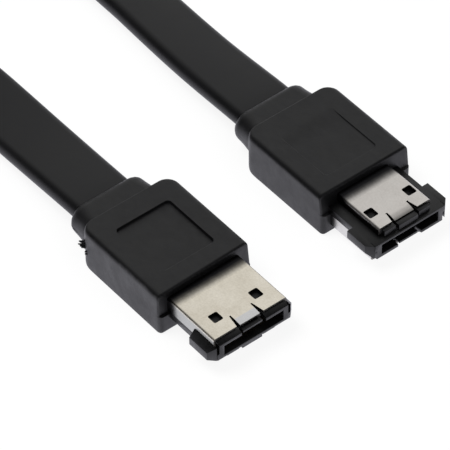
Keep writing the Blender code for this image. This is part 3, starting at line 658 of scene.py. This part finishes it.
def neckStations():     # sections from the mouth to the grip
    g = gripSize
    mouth = -layout["gripLength"] - layout["neckLength"]
    holeHalf, holeTall = cable["width"] / 2 - g["bite"], cable["thickness"] / 2 - g["bite"]
    rows = [(mouth + 0.9, holeHalf, holeTall, 0.95),
            (mouth + 0.05, holeHalf + g["bite"], holeTall + g["bite"], 1.0)]
    for k in range(7):
        a = radians(15 * k)
        inset = g["neckEnd"] * (1 - sin(a))
        x = mouth + g["neckEnd"] * (1 - cos(a))
        rows.append((x, g["neckHalf"] - inset, g["neckTall"] - inset, max(g["neckRound"] - inset * 0.6, 0.8)))
    run = layout["neckLength"] - g["neckEnd"]
    for k in range(1, 10):
        t = k / 9
        x = mouth + g["neckEnd"] + (run - 0.05) * t
        flare = g["neckFlare"] * t ** 2 + g["neckFillet"] * max(0.0, (t - 0.78) / 0.22) ** 2
        rows.append((x, g["neckHalf"] + flare, g["neckTall"] + g["neckRise"] * t, g["neckRound"] - 0.3 * t))
    return rows


def gripStations():     # sections from rear to front: x, half width, half height, corner radius
    g = gripSize
    half, tall, corner = g["width"] / 2, layout["gripHeight"] / 2, g["sectionRound"]
    back = -layout["gripLength"]
    rows = neckStations()
    rows.append((back, half - g["rearRound"] + 0.12, tall - g["rearEdge"], 0.5))
    for k in range(1, 10):
        a = radians(90 * k / 9)
        x = g["rearRound"] * (1 - cos(a))
        narrow = g["rearRound"] * (1 - sin(a))
        edge = g["rearEdge"]
        low = 0.0 if x >= edge else edge - sqrt(edge ** 2 - (edge - x) ** 2)
        rows.append((back + x, half - narrow, tall - low, corner))
    rear, front = g["panelRear"], g["panelFront"]       # close together over the panel's walls
    marks = [*np.arange(back + g["rearRound"] + 0.4, rear - 0.5, 0.5),
             *np.arange(rear - 0.35, rear + 1.0, 0.06), *np.arange(rear + 1.2, front - 1.1, 0.5),
             *np.arange(front - 1.0, front + 0.4, 0.06),
             *np.arange(front + 0.6, -g["frontRound"] - 0.1, 0.4)]
    rows += [(x, half, tall, corner) for x in marks]
    for k in range(12):
        a = radians(90 * k / 11)
        x = -g["frontRound"] * (1 - sin(a))
        edge = g["frontEdge"]
        low = 0.0 if x <= -edge else edge - sqrt(max(edge ** 2 - (edge + x) ** 2, 0.0))
        rows.append((x, half, tall - low, corner))
    return rows


def sectionPlaces():    # points of a section: the part of the outline and the share of it
    side = gripSize["panelHalf"]
    flat = gripSize["width"] / 2 - gripSize["sectionRound"]
    marks = [*np.arange(-flat + 0.25, -side - 0.5, 0.4), *np.arange(-side - 0.35, -side + 1.0, 0.06),
             *np.arange(-side + 1.2, 0, 0.45)]
    across = [m / flat for m in sorted(marks + [-m for m in marks] + [0.0])]
    upright = [0.15, 0.4, 0.65, 0.85, 0.96]
    corners = [[("corner", number, k / 6) for k in range(7)] for number in range(4)]
    places = [("bottom", s) for s in across] + corners[0]
    places += [("rightLow", s) for s in upright] + [("rightSeam", -1), ("rightSeam", 1)]
    places += [("rightHigh", s) for s in reversed(upright)] + corners[1]
    places += [("top", -s) for s in across] + corners[2]
    places += [("leftHigh", s) for s in upright] + [("leftSeam", 1), ("leftSeam", -1)]
    places += [("leftLow", s) for s in reversed(upright)] + corners[3]
    return places


def sectionPoint(place, half, tall, radius, parting):       # y, z of a place; z from the floor
    g = gripSize
    kind, number = place[:2]
    radius = min(radius, half, tall)
    if radius == g["sectionRound"] and (kind == "bottom" or kind == "corner" and number in (0, 3)):
        radius = g["bottomRound"]
    y0, z0 = half - radius, tall - radius
    seam = parting - midHeight
    if kind in ("bottom", "top"):
        y, z = number * y0, tall if kind == "top" else -tall
    elif kind == "corner":
        a = radians(-90 + 90 * number + 90 * place[2])
        y = (y0 if number in (0, 1) else -y0) + radius * cos(a)
        z = (z0 if number in (1, 2) else -z0) + radius * sin(a)
    else:
        y = half if kind.startswith("right") else -half
        if kind.endswith("Seam"):
            z = seam + g["seam"] * number
        elif kind.endswith("Low"):
            z = -z0 + (seam - 0.05 + z0) * number
        else:
            z = z0 + (seam + 0.05 - z0) * number
    return y, z + midHeight


def panelEdge(x, y):        # distance to the panel's rounded outline, negative inside
    g = gripSize
    rear, front, radius = g["panelRear"], g["panelFront"], g["panelRound"]
    dx = np.abs(x - (rear + front) / 2) - ((front - rear) / 2 - radius)
    dy = np.abs(y) - (g["panelHalf"] - radius)
    outside = np.hypot(np.maximum(dx, 0), np.maximum(dy, 0))
    return outside + np.minimum(np.maximum(dx, dy), 0) - radius


def makeGrip(tag, own):
    g = gripSize
    back, parting = -layout["gripLength"], own["parting"]
    stations, places = gripStations(), sectionPlaces()
    grid = np.array([[(x, *sectionPoint(p, half, tall, radius, parting)) for p in places]
                     for x, half, tall, radius in stations])
    x, y, z = grid[..., 0], grid[..., 1], grid[..., 2]
    lower = z < parting
    for radius, part in ((g["frontRound"], lower), (g["upperFrontRound"], ~lower)):     # front corners
        near = np.clip(x + radius, 0, radius)
        narrow = (radius - np.sqrt(radius ** 2 - near ** 2)) / (g["width"] / 2)
        y *= np.where(part, 1 - narrow, 1.0)
    bottom = g["rearBottom"]            # rounded rear bottom edge
    past = np.clip(bottom - (x - back), 0, bottom)
    lift = (bottom - np.sqrt(bottom ** 2 - past ** 2)) * (x > back - 0.01)
    z += np.where(lower, lift * (1 - z / parting), 0.0)
    ahead = smoothStep((x + g["frontDepth"]) / g["frontDepth"])     # lower half ahead, upper half back
    left, right = own["topBack"]
    share = np.clip((z - parting) / (layout["gripHeight"] - parting), 0, 1)
    leaning = own["seamBack"] * (1 - share) + (left + (right - left) * (y / g["width"] + 0.5)) * share
    x += np.where(lower, own["lowerAhead"], -leaning) * ahead
    inside = smoothStep(0.5 - panelEdge(x, y) / g["panelSoft"] / 2)     # recessed panels
    if own["rearWall"]:
        inside = inside * smoothStep((x - g["panelRear"]) / own["rearWall"])
    onTop = np.array([p[0] == "top" for p in places])[None, :]
    onBottom = np.array([p[0] == "bottom" for p in places])[None, :]
    z -= np.where(onTop, own["panelDepth"] * inside, 0.0)
    z += np.where(onBottom, own["panelDepth"] * inside, 0.0)
    sink = g["sink"] * np.clip(1 - (y / 7.0) ** 2, 0, 1) * np.clip(1 - ((x + 7.9) / 7.6) ** 2, 0, 1)
    z -= np.where(onTop, sink, 0.0)
    onGrip = smoothStep((x - back + 0.8) / 1.0)
    y += own["shift"] * onGrip + own["neckShift"] * (1 - onGrip)

    count, lastRow = len(places), len(stations) - 1
    faces = []
    for i in range(lastRow):
        for j in range(count):
            k = (j + 1) % count
            faces.append((i * count + j, (i + 1) * count + j, (i + 1) * count + k, i * count + k))
    faces.append(tuple(range(count)))
    last = [lastRow * count + j for j in range(count)]
    rightLow, rightHigh, leftHigh, leftLow = [j for j, p in enumerate(places) if p[0].endswith("Seam")]
    faces.append(tuple(last[j] for j in range(rightHigh, leftHigh + 1)))
    faces.append(tuple(last[j % count] for j in range(leftLow, rightLow + count + 1)))
    faces.append((last[rightLow], last[rightHigh], last[leftHigh], last[leftLow]))
    verts = np.stack([x, y, z], axis=-1).reshape(-1, 3)
    obj = meshObject("grip" + tag.upper(), verts, faces, grip, plugMatrix(tag), 38)
    return finish(obj, "overmould", "overmould_" + tag)


grips = [makeGrip(tag, own) for tag, own in gripOwn.items()]
print("grips done", len(grips[0].data.vertices), "points each")


burrs = {                           # ragged mould flash at plug a's rear left corner, in mm
    "from": (-15.6, -7.1, 4.1), "to": (-14.8, -7.35, 2.0), "outward": (-0.62, -0.78, 0),
    "count": 18, "sides": 5,
    "reach": 0.7, "thick": 0.26,
    "root": 0.35,                   # how far each starts inside the grip
    "tip": 0.35,                    # its thickness at the end, as a share
    "seed": 4,
}


def makeFlash():
    draw = random.Random(burrs["seed"])
    start, end, out = Vector(burrs["from"]), Vector(burrs["to"]), Vector(burrs["outward"])
    count, sides = burrs["count"], burrs["sides"]
    verts, faces = [], []
    for k in range(count):
        t = (k + draw.uniform(-0.3, 0.3)) / (count - 1)
        base = start.lerp(end, t) - out * burrs["root"]
        half = burrs["thick"] * draw.uniform(0.7, 1.5)
        tip = base + out * (burrs["root"] + burrs["reach"] * draw.uniform(0.25, 1.0) * (1 - 0.75 * t))
        tip += Vector((draw.uniform(-0.3, 0.3), draw.uniform(-0.3, 0.3), draw.uniform(-0.15, 0.35)))
        first = len(verts)
        for n in range(sides):
            a = 2 * pi * n / sides + draw.uniform(-0.3, 0.3)
            verts.append(base + Vector((0.78 * cos(a), -0.62 * cos(a), sin(a))) * half)
        verts += [tip + (verts[first + n] - base) * burrs["tip"] for n in range(sides)]
        for n in range(sides):
            m = (n + 1) % sides
            faces.append((first + n, first + m, first + sides + m, first + sides + n))
        faces += [tuple(range(first + sides - 1, first - 1, -1)),
                  tuple(range(first + sides, first + 2 * sides))]
    obj = meshObject("mouldFlash", verts, faces, insulation, plugMatrix("a"), 20)
    finish(obj, "overmould")


makeFlash()
print("mould flash done")


shell = {                       # mm, in the insert's frame
    "wide": {"width": 11.8, "front": -0.8, "wallEnd": 0.15, "side": 1, "slit": 1.95},
    "narrow": {"width": 8.75, "front": -1.2, "wallEnd": 0.99, "side": -1, "slit": 1.6},
    "thickness": 0.3,
    "bend": 0.36,               # outer radius of the folds
    "top": 2.22, "rear": -14.0,
    "windowWidth": 1.45, "windowLength": 1.55, "windowSpread": 6.5, "windowRound": 0.24,
    "windowBack": 2.1,          # from the shell's front edge
    "tab": 3.2,
    "tabShine": 0.42,           # share of the tab's length behind its front part, which takes the tab material: a painted highlight on plug a
    "slitWidth": 0.4,
    "slitOpening": (0.55, 0.85),    # shares of its width: at the rear, and how much it opens to the front
}


def makeShell(tag, kind, mat, tabMat, tabDrop):     # folded out of a flat sheet
    s, own = shell, shell[kind]
    width, front, side, slit = own["width"], own["front"], own["side"], own["slit"]
    flat, arc = width / 2 - s["bend"], s["bend"] * pi / 2
    wall = s["top"] - s["bend"] - own["wallEnd"]
    tab = s["tab"] / 2
    slitSide = tab + s["slitWidth"]
    inner = s["windowSpread"] / 2 - s["windowWidth"] / 2
    outer = inner + s["windowWidth"]
    turn = s["windowRound"]
    half = [tab * 0.5, tab * 0.9, tab, slitSide, inner, inner + turn, outer - turn, outer, flat]
    half += [flat + arc * k / 6 for k in range(1, 7)] + [flat + arc + wall]
    lines = [-v for v in reversed(half)] + [0.0] + half
    slitEnd = front - slit
    windowFront = front - s["windowBack"]
    windowRear = windowFront - s["windowLength"]
    stations = [front - slit * k / 12 for k in range(13)]
    stations += [windowFront, windowFront - turn, windowRear + turn, windowRear, s["rear"]]

    def fold(v, x):         # place in the shell of a point on the sheet
        a, sign = abs(v), 1 if v >= 0 else -1
        if abs(a - tab - s["slitWidth"]) < 1e-6 and x >= slitEnd:      # slits open towards the front
            least, opening = s["slitOpening"]
            a = tab + s["slitWidth"] * (least + opening * (x - slitEnd) / slit)
        if a <= flat:
            y, z = a, s["top"]
        elif a <= flat + arc:
            bent = (a - flat) / s["bend"]
            y, z = flat + s["bend"] * sin(bent), s["top"] - s["bend"] * (1 - cos(bent))
        else:
            y, z = width / 2, s["top"] - s["bend"] - (a - flat - arc)
        if a <= tab and x > slitEnd:        # the tab rolls down towards its front edge
            t = max(0.0, (x - slitEnd) / slit - 0.3) / 0.7
            z -= tabDrop * t ** 1.3
            x -= tabDrop * 0.15 * t
        return x, sign * y, side * z

    bm = bmesh.new()
    made = {}

    def corner(i, j):
        if (i, j) not in made:
            made[i, j] = bm.verts.new(fold(lines[i], stations[j]))
        return made[i, j]

    def roundWindow(i, j, v, x):        # fills one corner of a window up to an arc
        outward = abs(lines[i + 1]) > abs(lines[i])
        ci = i + (outward == (outer - v < turn))
        cj = j if windowFront - x < turn else j + 1
        oi, oj = 2 * i + 1 - ci, 2 * j + 1 - cj
        rounding = []
        for k in range(1, 4):
            a = radians(90 * k / 4)
            across = lines[oi] + (lines[ci] - lines[oi]) * sin(a)
            along = stations[oj] + (stations[cj] - stations[oj]) * cos(a)
            rounding.append(bm.verts.new(fold(across, along)))
        bm.faces.new([corner(ci, cj), corner(oi, cj), *rounding, corner(ci, oj)])

    for i in range(len(lines) - 1):
        for j in range(len(stations) - 1):
            v, x = abs(lines[i] + lines[i + 1]) / 2, (stations[j] + stations[j + 1]) / 2
            slitHere = tab < v < slitSide and x > slitEnd
            windowHere = inner < v < outer and windowRear < x < windowFront
            if not (slitHere or windowHere):
                face = bm.faces.new((corner(i, j), corner(i, j + 1), corner(i + 1, j + 1), corner(i + 1, j)))
                # the tab's front takes the tab material; on plug a's wide shell that is a painted highlight
                face.material_index = 2 if v < tab and x > slitEnd + s["tabShine"] * slit else 0
            nearSide = min(v - inner, outer - v) < turn
            nearEnd = min(x - windowRear, windowFront - x) < turn
            if windowHere and nearSide and nearEnd:
                roundWindow(i, j, v, x)
    bmesh.ops.recalc_face_normals(bm, faces=bm.faces)
    bm.normal_update()
    if sum(f.normal.z * f.calc_area() for f in bm.faces) * side < 0:
        bmesh.ops.reverse_faces(bm, faces=bm.faces)
    name = "shell" + kind.capitalize() + tag.upper()
    mesh = bpy.data.meshes.new(name)
    bm.to_mesh(mesh)
    bm.free()
    mesh.transform(insertMatrix(tag))
    # the rims take the dark sheared edge colour, partly painted shade
    for used in (mat, shearedRimAndShade, tabMat, shearedRimAndShade):        # sheet, its rim, tab, its rim
        mesh.materials.append(used)
    obj = addObject(name, mesh)
    skin = obj.modifiers.new("sheet", "SOLIDIFY")
    skin.thickness = s["thickness"] * mm
    skin.offset = -1
    skin.use_even_offset = True
    skin.material_offset_rim = 1
    bake(obj, 40)
    finish(obj, "shell", "shell_%s_%s" % (kind, tag))


# the front of this tab takes a painted highlight colour
makeShell("a", "wide", nickel["A"], nickel["TabHighlight"], 0.12)
makeShell("a", "narrow", nickel["Below"], nickel["Below"], 0.26)
makeShell("b", "wide", nickel["Below"], nickel["Below"], 0.26)
makeShell("b", "narrow", nickel["B"], nickel["B"], 0.26)
print("shells done")


def makeInsulator(tag):
    obj = nodeCopy("insulator_" + tag, "insulator" + tag.upper(), insulation)
    softenEdges(obj, 0.05, 30)
    finish(obj, "insulator", "insulator_" + tag)


makeInsulator("a")
makeInsulator("b")
print("insulators done")


contact = {                     # mm, in the insert's frame
    "count": 7, "pitch": 1.27, "width": 0.7, "thickness": 0.15, "top": 1.27,
    "bow": 0.45,                # how far the spring bows into the slot
    "tipX": -1.3, "bowRear": -6.8, "rear": -17.0,
}


def contactTree(sizes, mat):        # copies one spring strip across the slot at the contact pitch
    tree, source, out = geometryTree("contactRow", sizes)
    line = treeNode(tree, "GeometryNodeMeshLine", {"Count": source.outputs["Count"]})
    offset = treeNode(tree, "ShaderNodeCombineXYZ", {"Y": source.outputs["Pitch"]})
    tree.links.new(offset.outputs[0], line.inputs["Offset"])
    spots = treeNode(tree, "GeometryNodeInstanceOnPoints",
                     {"Points": line.outputs[0], "Instance": source.outputs["Geometry"]})
    endTree(tree, out, spots.outputs[0], mat)
    return tree


def makeContacts(tag):
    c = contact
    profile = [(c["rear"], 0.0), (c["bowRear"], 0.0)]
    for k in range(1, 17):
        t = k / 16
        profile.append((c["bowRear"] + (c["tipX"] - c["bowRear"]) * t, -c["bow"] * sin(pi * t ** 1.6)))
    half, first = c["width"] / 2, -c["pitch"] * (c["count"] - 1) / 2
    verts, faces = [], []
    for x, drop in profile:
        top = c["top"] + drop
        low = top - c["thickness"]
        verts += [(x, y, z) for y, z in ((-half, low), (half, low), (half, top), (-half, top))]
    for i in range(len(profile) - 1):
        for j in range(4):
            k = (j + 1) % 4
            faces.append((4 * i + j, 4 * i + k, 4 * i + 4 + k, 4 * i + 4 + j))
    faces += [(0, 3, 2, 1), tuple(4 * (len(profile) - 1) + j for j in range(4))]
    frameHere = insertMatrix(tag)
    turn = frameHere.to_3x3()
    obj = meshObject("contacts" + tag.upper(), verts, faces, gold, turn.to_4x4(), 35)
    sizes = {"Count": c["count"], "Pitch": c["pitch"] * (turn @ Vector((0, 1, 0))).y}
    runTree(obj, contactTree(sizes, gold), sizes, 30)
    obj.data.transform(Matrix.Translation(frameHere @ Vector((0, first, 0))))
    names = ["contact_%d_%s" % (i, tag) for i in range(1, c["count"] + 1)]
    finish(obj, "contact", *names)


makeContacts("a")
makeContacts("b")
print("contacts done")


for name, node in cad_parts.items():       # hidden pieces keep their solids
    for start, mat in (("wire", tinned), ("inner_mould", natural)):
        if name.startswith(start):
            node.data.materials.clear()
            node.data.materials.append(mat)
